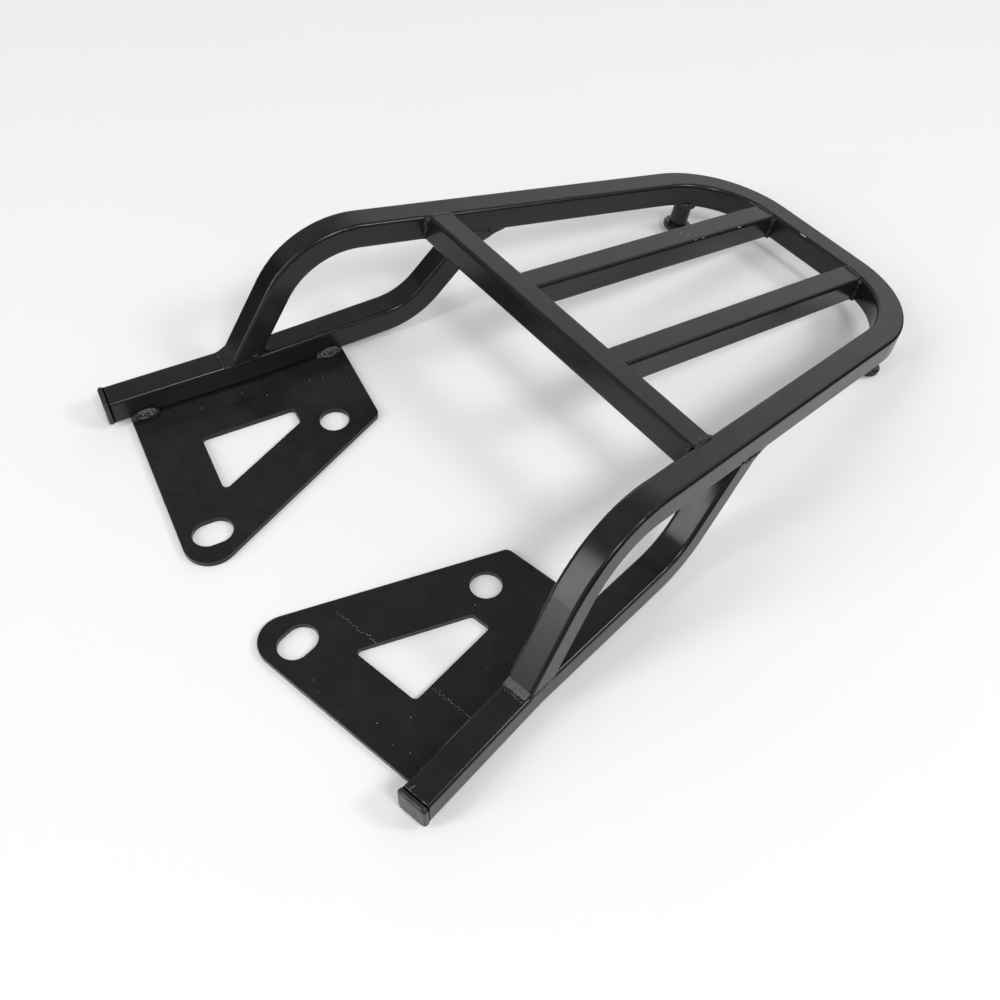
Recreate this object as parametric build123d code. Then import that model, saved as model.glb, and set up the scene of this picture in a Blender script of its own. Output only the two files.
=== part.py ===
from build123d import *
from math import atan, cos, radians, sin, sqrt, tan
import os

os.makedirs("parts", exist_ok=True)

# Welded luggage rack of bent square tube, for the tail of a motorcycle.
# Millimetres, +X right, +Y towards the rear of the rack, +Z up.
# The origin lies midway between the two round bolt holes, on the underside of the plates.

# square tube of the hoop, the lower rails and the deck bars
tube = 15.0
wall = 1.5
tube_r = 2.0
bore_r = 0.5

# the crossbar stands a little above the deck rails, the deck bars lie a little below
crossbar_proud = 0.5
bar_drop = 1.0

# mounting plates
plate_t = 3.0
hole_spacing = 135.0
hole_d = 16.0
slot_len = 21.0
slot_w = 16.0
plate_front = 9.0
plate_rear = 131.0
nose_reach = 127.0
tail_reach = 60.0
nose_r = 14.0
tail_r = 4.0
plate_lap = 11.0
window_front = 39.0
window_rear = 90.5
window_side = 36.5
window_web = 30.0
window_r = 2.5
slot_along = 25.5
slot_from_nose = 28.0

# lower rails, measured along the rail from its front end
rail_splay = 11.7
hole_along = 107.5
hole_in = 54.0
leg_along = 75.5
rail_kink_r = 200.0
brace_along = 100.5
brace_angle = 43.5
brace_r = 40.0

# deck and hoop
rail_converge = 8.8
deck_slope = 12.8
deck_height = 74.5
crossbar_y = 89.5
deck_length = 221.0
leg_angle = 57.0
leg_r = 47.5
corner_r = 54.0
bar_spacing = 69.5

# pegs under the rear corners
peg_d = 11.0
peg_head_d = 17.0
peg_head_t = 4.0
peg_edge_r = 1.2
peg_chamfer = 0.8
peg_past = 17.5
peg_in = 2.0

# plastic end caps of the lower rails
cap_t = 2.5
cap_lip = 0.6
cap_edge_r = 1.5
cap_plug_len = 12.0
cap_plug_wall = 1.4
cap_clear = 0.2
cap_rib_t = 1.2
cap_rib_clear = 0.05
cap_rib_pitch = 4.0

# weld beads
bead_r = 3.2
plate_bead_r = 4.2
plate_bead_len = 16.0
bead_root = 0.9
peg_bead = 2.2

# depth that an end runs into its neighbour before it is coped to fit
cope = 0.5

UP = Vector(0, 0, 1)


def heading(angle):
    # level direction towards the rear, turned inwards on the right-hand side
    return Vector(-sin(radians(angle)), cos(radians(angle)), 0)


def outward(angle):
    # level direction square to the heading, pointing away from the middle
    return Vector(cos(radians(angle)), sin(radians(angle)), 0)


def tube_face(hollow=True):
    face = RectangleRounded(tube, tube, tube_r)
    if hollow:
        face -= RectangleRounded(tube - 2 * wall, tube - 2 * wall, bore_r)
    return face


def bend_points(before, corner, after, radius):
    # first, middle and last point of the arc that rounds a corner
    arrive = (corner - before).normalized()
    leave = (after - corner).normalized()
    half = radians(arrive.get_angle(leave)) / 2
    reach = radius * tan(half)
    inward = (leave - arrive).normalized()
    middle = corner + inward * (radius / cos(half) - radius)
    return corner - arrive * reach, middle, corner + leave * reach


def bent_path(points, radii):
    # centre line of a bent tube: straight runs joined by tangent arcs
    edges = []
    start = points[0]
    for i, radius in enumerate(radii):
        first, middle, last = bend_points(*points[i:i + 3], radius)
        edges.append(Line(start, first))
        edges.append(ThreePointArc(first, middle, last))
        start = last
    edges.append(Line(start, points[-1]))
    return Wire([e.edge() for e in edges])


def bent_tube(points, radii, side_dir, hollow=True):
    path = bent_path(points, radii)
    ahead = (points[1] - points[0]).normalized()
    seat = Plane(origin=points[0], x_dir=side_dir, z_dir=ahead)
    return sweep(seat * tube_face(hollow), path=path)


def rod(start, end, radius):
    # round bar between two points
    axis = end - start
    return Plane(origin=start, z_dir=axis.normalized()) * Cylinder(
        radius, axis.length, align=(Align.CENTER, Align.CENTER, Align.MIN)
    )


def flip(shape):
    return mirror(shape, about=Plane.YZ)


def save(name, shape):
    solids = shape.solids()
    body = solids[0] if len(solids) == 1 else Compound(children=list(solids))
    export_step(body, f"parts/{name}.step")


# lower rail, right-hand side: lies on the plate and runs past the bolt hole
rail_z = plate_t + tube / 2
rail_top = plate_t + tube
front_dir = heading(rail_splay)
front_out = outward(rail_splay)
hole = Vector(hole_spacing / 2, 0, 0)
rail_front = hole + front_out * hole_in - front_dir * hole_along + UP * rail_z
leg_foot = rail_front + front_dir * leg_along

# upright plane of the side frame, from the foot of the leg to the rear corner
rear_dir = heading(rail_converge)
rear_out = outward(rail_converge)
side = Plane(origin=leg_foot, x_dir=rear_dir, z_dir=rear_out)
deck = Plane(
    origin=(0, crossbar_y, deck_height),
    x_dir=(1, 0, 0),
    z_dir=(0, sin(radians(deck_slope)), cos(radians(deck_slope))),
)


def deck_rail_point(y):
    # point of the deck rail's centre line above a station on the side frame
    x = leg_foot.X - tan(radians(rail_converge)) * (y - leg_foot.Y)
    drop = tan(radians(deck_slope)) * (y - crossbar_y)
    return Vector(x, y, deck_height - tube / 2 / cos(radians(deck_slope)) - drop)


rear_mid = deck.from_local_coords(Vector(0, deck_length - tube / 2, -tube / 2))
rear_corner = deck_rail_point(rear_mid.Y)
rail_dir = (rear_corner - deck_rail_point(leg_foot.Y)).normalized()
rail_normal = rear_out.cross(rail_dir).normalized()
side_slope = atan(tan(radians(deck_slope)) * cos(radians(rail_converge)))

# the leg rises from the rail's top face to the line of the deck rail
leg_dir = rear_dir * cos(radians(leg_angle)) + UP * sin(radians(leg_angle))
rise = deck_rail_point(leg_foot.Y).Z - rail_top
leg_len = rise / (sin(radians(leg_angle)) + tan(side_slope) * cos(radians(leg_angle)))
foot_mid = leg_foot + UP * (tube / 2)
leg_top = foot_mid + leg_dir * leg_len

# hoop: one tube bent four times, both feet cut flat on the lower rails
hoop_points = [foot_mid - leg_dir * tube, leg_top, rear_corner, rear_mid]
hoop_radii = [leg_r, corner_r]
foot_cut = Pos(foot_mid.X, foot_mid.Y, rail_top) * Box(
    4 * tube, 4 * tube, 2 * tube, align=(Align.CENTER, Align.CENTER, Align.MAX)
)


def hoop_half(hollow):
    return bent_tube(hoop_points, hoop_radii, rear_out, hollow) - foot_cut


hoop_right = hoop_half(True)
hoop = hoop_right + flip(hoop_right)
core_right = hoop_half(False)
hoop_core = core_right + flip(core_right)
save("deck_hoop", hoop)

# lower rail with its rear end bent up and cut flat under the deck rail
brace_base = leg_foot + rear_dir * brace_along
brace_dir = rear_dir * cos(radians(brace_angle)) + UP * sin(radians(brace_angle))
under = Plane(
    origin=deck_rail_point(crossbar_y) - rail_normal * (tube / 2), x_dir=rail_dir, z_dir=rail_normal
)
brace_gap = (under.origin - brace_base).dot(rail_normal)
brace_top = brace_base + brace_dir * (brace_gap / brace_dir.dot(rail_normal))
rail_points = [rail_front, leg_foot, brace_base, brace_top + brace_dir * tube]
rail_radii = [rail_kink_r, brace_r]


def lower_rail(hollow):
    rail = bent_tube(rail_points, rail_radii, front_out, hollow)
    return split(rail, bisect_by=under, keep=Keep.BOTTOM)


rail_right = lower_rail(True)
rail_core = lower_rail(False)
save("right_lower_rail", rail_right)
save("left_lower_rail", flip(rail_right))

# crossbar between the inner faces of the deck rails, its top a little proud of them
inner_face = side.offset(-tube / 2)
crossbar_mid = crossbar_proud - tube / 2
crossbar_seat = Plane(
    origin=deck.from_local_coords(Vector(0, tube / 2, crossbar_mid)),
    x_dir=deck.y_dir,
    z_dir=(1, 0, 0),
)
crossbar_half = extrude(crossbar_seat * tube_face(), hole_spacing)
crossbar_half = split(crossbar_half, bisect_by=inner_face, keep=Keep.BOTTOM)
crossbar = crossbar_half + flip(crossbar_half)
save("front_crossbar", crossbar)

# two deck bars from the crossbar to the rear bar of the hoop
bar_end = deck_length - tube + cope
bar_seat = Plane(
    origin=deck.from_local_coords(Vector(bar_spacing / 2, tube, -tube / 2 - bar_drop)),
    x_dir=(1, 0, 0),
    z_dir=deck.y_dir,
)
bar_right = extrude(bar_seat * tube_face(), bar_end - tube) - hoop_core
bar_core = extrude(bar_seat * tube_face(False), bar_end - tube) - hoop_core
save("right_deck_bar", bar_right)
save("left_deck_bar", flip(bar_right))

# mounting plate, drawn along the front run of its rail
plate_plane = Plane(origin=rail_front - UP * rail_z, x_dir=front_dir, z_dir=UP)
lap_edge = tube / 2 - plate_lap
plate_len = plate_rear - plate_front
slant = (nose_reach - tail_reach) / plate_len
web_across = window_web / cos(atan(slant))


def slant_edge(along):
    # reach of the plate's slanting edge, measured in from the rail's centre line
    return nose_reach - slant * (along - plate_front)


outline = make_face(
    Polyline(
        (plate_front, lap_edge),
        (plate_front, nose_reach),
        (plate_rear, tail_reach),
        (plate_rear, lap_edge),
        close=True,
    )
)
by_reach = outline.vertices().sort_by(Axis.Y)
outline = fillet(by_reach[-1], nose_r)
outline = fillet(outline.vertices().sort_by_distance((plate_rear, tail_reach, 0))[0], tail_r)
window = make_face(
    Polyline(
        (window_front, window_side),
        (window_front, slant_edge(window_front) - web_across),
        (window_rear, slant_edge(window_rear) - web_across),
        (window_rear, window_side),
        close=True,
    )
)
window = fillet(window.vertices(), window_r)
plate_face = outline - window
plate_face -= Pos(hole_along, hole_in) * Circle(hole_d / 2)
plate_face -= Pos(slot_along, nose_reach - slot_from_nose) * SlotOverall(slot_len, slot_w)
plate = extrude(plate_plane * plate_face, plate_t)
save("right_mount_plate", plate)
save("left_mount_plate", flip(plate))

# end cap: flange over the tube end, ribbed hollow plug inside the tube
cap_plane = Plane(origin=rail_front, x_dir=front_out, z_dir=front_dir * -1)
bore = tube - 2 * wall
plug_w = bore - 2 * cap_clear
rib_w = bore - 2 * cap_rib_clear
flange_w = tube + 2 * cap_lip
flange = extrude(RectangleRounded(flange_w, flange_w, tube_r + cap_lip), cap_t)
flange = fillet(flange.edges().group_by(Axis.Z)[-1], cap_edge_r)
plug = extrude(RectangleRounded(plug_w, plug_w, bore_r), -cap_plug_len)
for i in range(2):
    rib = extrude(RectangleRounded(rib_w, rib_w, bore_r), -cap_rib_t)
    plug += Pos(0, 0, -cap_rib_pitch * (i + 1)) * rib
hollow_w = plug_w - 2 * cap_plug_wall
plug -= extrude(Rectangle(hollow_w, hollow_w), -cap_plug_len)
cap = cap_plane * (flange + plug)
save("right_end_cap", cap)
save("left_end_cap", flip(cap))

# peg under the rear corner, its head level with the underside of the plates
corner_start, corner_mid, corner_end = bend_points(leg_top, rear_corner, rear_mid, corner_r)
corner_axis = deck.z_dir
to_centre = corner_axis.cross(rail_dir).normalized()
corner_centre = corner_start + to_centre * corner_r
peg_turn = peg_past / corner_r
peg_side = to_centre * cos(peg_turn) - rail_dir * sin(peg_turn)
peg_root = corner_centre - peg_side * (corner_r - peg_in) - corner_axis * (tube / 2)
head_r = peg_head_d / 2
lean = radians(deck_slope)
edge_drop = peg_edge_r + (head_r - peg_edge_r) * sin(lean)
peg_len = peg_edge_r + (peg_root.Z - edge_drop) / cos(lean)
peg_plane = Plane(origin=peg_root, x_dir=(1, 0, 0), z_dir=corner_axis * -1)
shaft_r = peg_d / 2
head_top = peg_len - peg_head_t
stem = Pos(0, 0, -cope) * Cylinder(
    shaft_r, peg_len + cope, align=(Align.CENTER, Align.CENTER, Align.MIN)
)
head = Pos(0, 0, head_top) * Cylinder(head_r, peg_head_t, align=(Align.CENTER, Align.CENTER, Align.MIN))
head = chamfer(head.edges().group_by(Axis.Z)[0], peg_chamfer)
head = fillet(head.edges().group_by(Axis.Z)[-1], peg_edge_r)
peg = peg_plane * (stem + head) - hoop_core
save("right_cargo_peg", peg)
save("left_cargo_peg", flip(peg))


def bead(start, end, radius, neighbours):
    # fillet weld in the corner between its neighbours
    weld = rod(start, end, radius)
    for part in neighbours:
        weld -= part
    return weld


# welds across the front and the back of the leg's foot
flat_w = tube - 2 * tube_r
half_flat = rear_out * (flat_w / 2)
foot_half = rear_dir * (tube / 2 / sin(radians(leg_angle)))
leg_welds = []
for edge in (foot_mid - foot_half, foot_mid + foot_half):
    leg_welds += bead(edge - half_flat, edge + half_flat, bead_r, [core_right, rail_core]).solids()
leg_weld = Compound(children=leg_welds)
save("right_leg_weld", leg_weld)
save("left_leg_weld", flip(leg_weld))

# welds across the front and the back of the brace, under the deck rail
brace_lean = brace_dir.get_angle(rail_dir)
brace_half = rail_dir * (tube / 2 / sin(radians(brace_lean)))
brace_welds = []
for edge in (brace_top - brace_half, brace_top + brace_half):
    brace_welds += bead(edge - half_flat, edge + half_flat, bead_r, [core_right, rail_core]).solids()
brace_weld = Compound(children=brace_welds)
save("right_brace_weld", brace_weld)
save("left_brace_weld", flip(brace_weld))

# welds down the front and the back of each crossbar end
crossbar_core = extrude(crossbar_seat * tube_face(False), hole_spacing)
crossbar_core = split(crossbar_core, bisect_by=inner_face, keep=Keep.BOTTOM)
crossbar_welds = []
for along in (0, tube):
    ends = []
    for depth in (tube_r, tube - tube_r):
        level = deck.from_local_coords(Vector(0, along, -depth))
        gap = (inner_face.origin - level).dot(rear_out) / rear_out.X
        ends.append(level + Vector(gap, 0, 0))
    crossbar_welds += bead(*ends, bead_r, [core_right, crossbar_core]).solids()
crossbar_weld = Compound(children=crossbar_welds + [flip(w) for w in crossbar_welds])
save("crossbar_weld", crossbar_weld)

# welds down both sides of each deck bar, at the crossbar and at the rear bar
inner_r = corner_r - tube / 2
bead_top = tube_r + bar_drop
for name, along in (("front", tube), ("rear", deck_length - tube)):
    welds = []
    for across in (bar_spacing / 2 - tube / 2, bar_spacing / 2 + tube / 2):
        past_bend = max(0, across - corner_end.X) if name == "rear" else 0
        seam = along - inner_r + sqrt(inner_r ** 2 - past_bend ** 2)
        ends = [deck.from_local_coords(Vector(across, seam, -d)) for d in (bead_top, tube - tube_r)]
        welds += bead(*ends, bead_r, [core_right, crossbar_core, bar_core]).solids()
    save(f"deck_bar_{name}_weld", Compound(children=welds + [flip(w) for w in welds]))

# welds in the corner between the plate and the rail, at both ends of the plate
plate_core = plate_plane * Pos(0, 0, -plate_t) * extrude(outline, 2 * plate_t)
front_run = Plane(origin=rail_front - UP * (tube / 2), x_dir=front_dir, z_dir=UP)
rear_run = Plane(origin=leg_foot - UP * (tube / 2), x_dir=rear_dir, z_dir=UP)
rear_end = (plate_rear - leg_along) / cos(radians(rail_splay - rail_converge)) - bead_root
plate_welds = []
for run, along in ((front_run, plate_front), (rear_run, rear_end - plate_bead_len)):
    root_cut = run * Pos(0, tube / 2 - bead_root, 0) * Box(
        4 * plate_rear, 2 * tube, 4 * tube, align=(Align.CENTER, Align.MAX, Align.CENTER)
    )
    ends = [run.from_local_coords(Vector(a, tube / 2, 0)) for a in (along, along + plate_bead_len)]
    plate_welds += bead(*ends, plate_bead_r, [rail_core, plate_core, root_cut]).solids()
plate_weld = Compound(children=plate_welds)
save("right_plate_weld", plate_weld)
save("left_plate_weld", flip(plate_weld))

# ring welds round the roots of the pegs
ring_r = shaft_r + peg_bead
ring = Pos(0, 0, -bead_root) * Cone(
    ring_r, shaft_r + bead_root / 2, peg_bead + bead_root, align=(Align.CENTER, Align.CENTER, Align.MIN)
)
ring = peg_plane * (ring - Cylinder(shaft_r, 4 * peg_bead)) - hoop_core
save("peg_weld", Compound(children=[ring, flip(ring)]))
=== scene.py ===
from functools import partial
from math import atan2, ceil, cos, pi, radians, sin, sqrt, tan
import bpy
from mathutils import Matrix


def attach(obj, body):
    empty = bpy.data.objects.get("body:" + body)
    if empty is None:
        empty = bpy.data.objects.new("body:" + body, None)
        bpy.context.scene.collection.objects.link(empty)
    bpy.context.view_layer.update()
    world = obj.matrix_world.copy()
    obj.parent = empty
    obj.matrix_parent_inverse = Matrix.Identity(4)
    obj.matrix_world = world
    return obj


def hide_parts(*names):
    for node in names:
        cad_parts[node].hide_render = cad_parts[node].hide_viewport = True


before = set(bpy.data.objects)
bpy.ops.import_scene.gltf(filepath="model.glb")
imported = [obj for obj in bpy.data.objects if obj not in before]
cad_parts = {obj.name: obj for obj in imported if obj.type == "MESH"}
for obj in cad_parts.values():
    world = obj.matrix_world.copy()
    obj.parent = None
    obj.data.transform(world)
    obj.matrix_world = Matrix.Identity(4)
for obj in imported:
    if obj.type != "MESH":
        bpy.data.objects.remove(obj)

from types import SimpleNamespace

import bmesh
import bpy
from mathutils import Matrix, Vector, noise

bl_info = {
    "name": "Motorcycle luggage rack",
    "version": (1, 0, 0),
    "blender": (4, 5, 0),
    "location": "View3D > Sidebar > Rack",
    "description": "Paints a welded tube luggage rack, lays its weld beads and sets up a studio",
    "category": "Object",
}

UP = Vector((0, 0, 1))
ACROSS = Vector((1, 0, 0))
RIGHT = 1
LEFT = -1
SIDES = (("right", RIGHT), ("left", LEFT))

# sockets of a Mix node, whose names repeat for each kind of value
FACTOR = 0
NUMBER_A, NUMBER_B, NUMBER_OUT = 2, 3, 0
COLOUR_A, COLOUR_B, COLOUR_OUT = 6, 7, 2

# make of the beads: sides of a bead, its cuts, its lumps to a metre, and its trim inside the walls in metres
BEAD_SIDES = 36
FEWEST_CUTS = 10
CUTS_PER_RIPPLE = 6
COARSE_LUMPS = 420
FINE_LUMPS = 1100
TRIM = 0.0002

# how far, in metres, beads end inside a tube's side faces and seams lie inside the faces they follow
END_INSET = 0.0008
SEAM_INSET = 0.0004

# curl on the plate beads: its points, the turn between them in radians, and its size as shares of the bead
CURL_POINTS = 19
CURL_START = 0.4
CURL_TURN = 0.55
CURL_FADE = 26
CURL_WIDTH = 0.6
CURL_HEIGHT = 0.94
CURL_LENGTH = 0.36

# single grains on the plates, in millimetres from the middle between the bolt holes
PLATE_GRAINS = {
    "right": ((97.3, -83.6), (110.4, -84.0), (118.1, -80.2), (73.6, -11.3), (61.6, -94.6), (104, -70)),
    "left": ((-104.8, -19.8), (-114.3, -29.9), (-117.5, -52.9), (-100.4, 5.1), (-90.1, 22.8), (-98, 12)),
}

# chips in metres: place along the left deck bar's edge with half length, and place across and along its top;
# painted highlight on the right rail's lip: place across with half length and half width, in metres
BAR_EDGE_CHIPS = ((0.1747, 0.0016), (0.1370, 0.0007), (0.1432, 0.0009))
BAR_TOP_CHIPS = ((-0.0359, 0.1319), (-0.0330, 0.1352))
LIP_GLINTS = ((-0.0044, 0.0022, 0.00014), (-0.0006, 0.0014, 0.00008), (0.0047, 0.0011, 0.00022))

# felts of the studio: name, turn in degrees and place in metres
FELTS = (
    ("left", 215, (-0.64, -0.38, 0)),
    ("right", 0, (0.70, 0.05, 0)),
    ("rear", 60, (0.45, 0.68, 0)),
)


def srgb(code):
    """Linear colour of a colour written as six hex digits, with a full alpha."""
    parts = [int(code[i:i + 2], 16) / 255 for i in (0, 2, 4)]
    return tuple(c / 12.92 if c <= 0.04045 else ((c + 0.055) / 1.055) ** 2.4 for c in parts) + (1,)


def length(name, description, metres):
    """A length property in metres."""
    return bpy.props.FloatProperty(
        name=name, description=description, default=metres, min=0, unit="LENGTH", precision=5
    )


def angle(name, description, degrees):
    """An angle property."""
    return bpy.props.FloatProperty(
        name=name, description=description, default=radians(degrees), unit="ROTATION", subtype="ANGLE"
    )


def colour(name, description, code):
    """A colour property."""
    return bpy.props.FloatVectorProperty(
        name=name, description=description, default=srgb(code), size=4, min=0, max=1, subtype="COLOR"
    )


class RackSizes(bpy.types.PropertyGroup):
    """Sizes of the tubes and where their seams lie"""
    tube: length("Tube", "Width of the square tube", 0.015)
    tube_corner: length("Tube corner", "Rounding of the tube's long edges", 0.002)
    plate: length("Plate", "Thickness of the mount plates", 0.003)
    hole_spacing: length("Hole spacing", "Distance between the two round bolt holes", 0.135)
    hole_along: length("Hole along", "Bolt hole behind the rail's front end", 0.1075)
    hole_in: length("Hole in", "Bolt hole inside the rail's middle line", 0.054)
    leg_along: length("Leg along", "Leg's foot behind the rail's front end", 0.0755)
    brace_along: length("Brace along", "Start of the rail's rise behind the leg's foot", 0.1005)
    deck_height: length("Deck height", "Top of the deck at its front bar", 0.0745)
    deck_front: length("Deck front", "Deck's front edge behind the bolt holes", 0.0895)
    deck_length: length("Deck length", "Deck from front edge to rear edge", 0.221)
    bar_drop: length("Bar drop", "Deck bars' tops below the deck rails", 0.001)
    bar_spacing: length("Bar spacing", "Distance between the two long deck bars", 0.0695)
    corner: length("Corner", "Bend radius of the rear corners", 0.054)
    plate_front: length("Plate front", "Plate's front edge behind the rail's front end", 0.009)
    plate_rear: length("Plate rear", "Plate's rear edge behind the rail's front end", 0.131)
    peg: length("Peg", "Diameter of the pegs", 0.011)
    peg_past: length("Peg past", "Peg's place along the rear corner's bend", 0.0175)
    peg_in: length("Peg in", "Peg's place inside the bend's middle line", 0.002)
    splay: angle("Splay", "Turn of the rails' front runs", 11.7)
    converge: angle("Converge", "Turn of the rails' rear runs", 8.8)
    slope: angle("Slope", "Fall of the deck towards the rear", 12.8)
    leg: angle("Leg", "Lean of the legs", 57.0)
    brace: angle("Brace", "Rise of the lower rails at the rear", 43.5)


class BeadSizes(bpy.types.PropertyGroup):
    """Sizes of the weld beads"""
    corner_bead: length("Corner bead", "Radius of a bead in a tube corner", 0.0030)
    thin_bead: length("Thin bead", "Radius of the thin beads on the deck bars", 0.0016)
    foot_fillet: length("Foot fillet", "Size of the flat fillet in front of a leg's foot", 0.0031)
    brace_fillet: length("Brace fillet", "Size of the hollow fillet behind a brace", 0.0075)
    crossbar_fillet: length("Crossbar fillet", "Size of the hollow fillet behind the crossbar's ends", 0.0050)
    plate_bead: length("Plate bead", "Radius of the beads on the plates", 0.0042)
    plate_bead_length: length("Plate bead length", "Length of a bead on a plate", 0.016)
    curl: length("Curl", "Radius of the curled second pass on the plate beads", 0.00055)
    peg_bead: length("Peg bead", "Radius of the ring bead round a peg", 0.0022)
    toe_line: length("Toe line", "Radius of the rough line along a foot fillet's toe", 0.0013)
    toe_lump: length("Toe lump", "Radius of the lump at the outer end of that line", 0.0019)
    leg_seam: length("Leg seam", "Radius of the flush seams on a leg's side faces", 0.0020)
    brace_seam: length("Brace seam", "Radius of the rough seams on a brace's side faces", 0.0018)
    crossbar_saddle: length("Crossbar saddle", "Radius of the low saddle on the crossbar's ends", 0.0036)
    bar_saddle: length("Bar saddle", "Radius of the low saddle on the deck bars' ends", 0.0026)
    pitch: length("Ripple pitch", "Distance between the ripples of a bead", 0.0019)


class MarkSizes(bpy.types.PropertyGroup):
    """Sizes of the marks in the paint"""
    grain: length("Grain", "Half the width of a grain in the paint", 0.00036)
    line_along: length("Line along", "Dotted line behind the right rail's front end", 0.049)
    line_pitch: length("Line pitch", "Distance between the grains of the dotted line", 0.0012)
    line_sway: length("Line sway", "Most that a grain lies off the dotted line", 0.0015)
    line_from: length("Line from", "Dotted line's start inside the rail's middle line", 0.0125)
    window_from: length("Window from", "Where the dotted line stops at the window", 0.0362)
    window_to: length("Window to", "Where the dotted line goes on past the window", 0.0712)
    line_to: length("Line to", "Dotted line's end at the plate's edge", 0.098)
    edge_from: length("Edge from", "Start of the grains on the right rail's edge", 0.027)
    edge_to: length("Edge to", "End of the grains on the right rail's edge", 0.043)
    gap: length("Gap", "Width of the dark gap between a cap and its rail", 0.0010)
    # the band in the cap gap is a painted shade, standing this far over the tube
    gap_proud: length("Gap proud", "Height of the grime in the gap over the tube", 0.00005)
    lip: length("Lip", "Radius of the thick paint at the rails' ends", 0.0004)
    chip_wide: length("Chip width", "Half the width of a chip on the left deck bar", 0.0003)
    chip_high: length("Chip height", "Height of the bare steel over the paint", 0.00008)


class RackColours(bpy.types.PropertyGroup):
    """Colours of the paint, the plastic and the studio"""
    tube_paint: colour("Tube paint", "Satin black of the tubes", "191919")
    plate_paint: colour("Plate paint", "Satin black of the plates", "181818")
    weld_paint: colour("Weld paint", "Black over the weld beads", "212121")
    # painted highlight: the grey of the curled ripples stands in for the glints they catch
    ripple_highlight_grey: colour("Ripple paint", "Worn paint on the curled ripples of the plate beads", "5c5c5c")
    cap_plastic: colour("Cap plastic", "Moulded black of the end caps", "262626")
    dust: colour("Dust", "Pale dust lying on the paint", "8a8884")
    # dust and grit in the paint, and in part a painted highlight standing in for glints on grains and edges
    grit_and_glint: colour("Grit", "Grey of the grains stuck in the paint", "7d7b78")
    # painted shade: this black stands in for the shadow in the gaps at the end caps
    painted_shade: colour("Grime", "Black dirt in the gaps at the end caps", "040404")
    steel: colour("Steel", "Bare steel under chipped paint", "d8d6d2")
    floor: colour("Floor", "White paper floor", "fafafa")
    felt: colour("Felt", "Black felt beside the paper", "2c2c2c")


def set_out(s):
    """Points and directions of the right-hand side, from the sizes of the rack."""
    def heading(turn):
        return Vector((-sin(turn), cos(turn), 0))

    def outward(turn):
        return Vector((cos(turn), sin(turn), 0))

    half = s.tube / 2
    p = SimpleNamespace(half=half)
    # how far the middle of a tube's rounded edge lies inside both faces
    p.round_off = s.tube_corner * (1 - sqrt(0.5))
    p.front_dir, p.front_out = heading(s.splay), outward(s.splay)
    p.rear_dir, p.rear_out = heading(s.converge), outward(s.converge)
    hole = Vector((s.hole_spacing / 2, 0, 0))
    p.rail_front = hole + p.front_out * s.hole_in - p.front_dir * s.hole_along + UP * (s.plate + half)
    p.leg_foot = p.rail_front + p.front_dir * s.leg_along
    p.deck_along = Vector((0, cos(s.slope), -sin(s.slope)))
    p.deck_up = Vector((0, sin(s.slope), cos(s.slope)))
    p.deck_origin = Vector((0, s.deck_front, s.deck_height))

    def rail_point(y):
        x = p.leg_foot.x - tan(s.converge) * (y - p.leg_foot.y)
        z = s.deck_height - half / cos(s.slope) - tan(s.slope) * (y - s.deck_front)
        return Vector((x, y, z))

    rear_y = s.deck_front + (s.deck_length - half) * cos(s.slope) - half * sin(s.slope)
    p.rear_corner = rail_point(rear_y)
    p.rail_dir = (p.rear_corner - rail_point(p.leg_foot.y)).normalized()
    p.rail_up = p.rear_out.cross(p.rail_dir).normalized()
    p.leg_dir = p.rear_dir * cos(s.leg) + UP * sin(s.leg)
    p.leg_ahead = UP * cos(s.leg) - p.rear_dir * sin(s.leg)
    p.foot = p.leg_foot + UP * half
    p.foot_half = p.rear_dir * (half / sin(s.leg))
    p.brace_dir = p.rear_dir * cos(s.brace) + UP * sin(s.brace)
    p.brace_ahead = UP * cos(s.brace) - p.rear_dir * sin(s.brace)
    base = p.leg_foot + p.rear_dir * s.brace_along
    under = rail_point(s.deck_front) - p.rail_up * half
    p.brace_top = base + p.brace_dir * ((under - base).dot(p.rail_up) / p.brace_dir.dot(p.rail_up))
    p.brace_half = p.rail_dir * (half / sin(p.brace_dir.angle(p.rail_dir)))

    turn = p.rail_dir.angle(-ACROSS)
    bend_start = p.rear_corner - p.rail_dir * (s.corner * tan(turn / 2))
    to_centre = p.deck_up.cross(p.rail_dir).normalized()
    past = s.peg_past / s.corner
    peg_side = to_centre * cos(past) - p.rail_dir * sin(past)
    p.peg_root = bend_start + to_centre * s.corner - peg_side * (s.corner - s.peg_in) - p.deck_up * half
    return p


def deck_point(p, across, along, depth):
    """Point of the deck, measured from the middle of its front edge."""
    return p.deck_origin + Vector((across, 0, 0)) + p.deck_along * along - p.deck_up * depth


def wall_x(p, point):
    """The x at which the right rail's inner face passes the height and depth of a point."""
    face = p.leg_foot - p.rear_out * p.half
    return face.x - (point - face).dot(Vector((0, p.rear_out.y, 0))) / p.rear_out.x


def flip(vector, side):
    """The vector on the right side, or its mirror image on the left."""
    return Vector((vector.x * side, vector.y, vector.z))


# Materials

def per_mm(size):
    """Scale of a pattern whose lumps are about this many millimetres across."""
    return 1000 / size


def add_node(tree, kind, inputs=None, **settings):
    """One shader node, with its settings made and its inputs set or linked."""
    node = tree.nodes.new(kind)
    for name, value in settings.items():
        setattr(node, name, value)
    for name, value in (inputs or {}).items():
        if isinstance(value, bpy.types.NodeSocket):
            tree.links.new(value, node.inputs[name])
        else:
            node.inputs[name].default_value = value
    return node


def new_material(name):
    """An empty material with its shader and the object's own coordinates."""
    material = bpy.data.materials.new(name)
    material.use_nodes = True
    tree = material.node_tree
    shader = tree.nodes["Principled BSDF"]
    place = add_node(tree, "ShaderNodeTexCoord").outputs["Object"]
    return material, tree, shader, place


def shade(base, share):
    """A colour made darker or lighter by a share."""
    return tuple(min(1, c * share) for c in base[:3]) + (1,)


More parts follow.
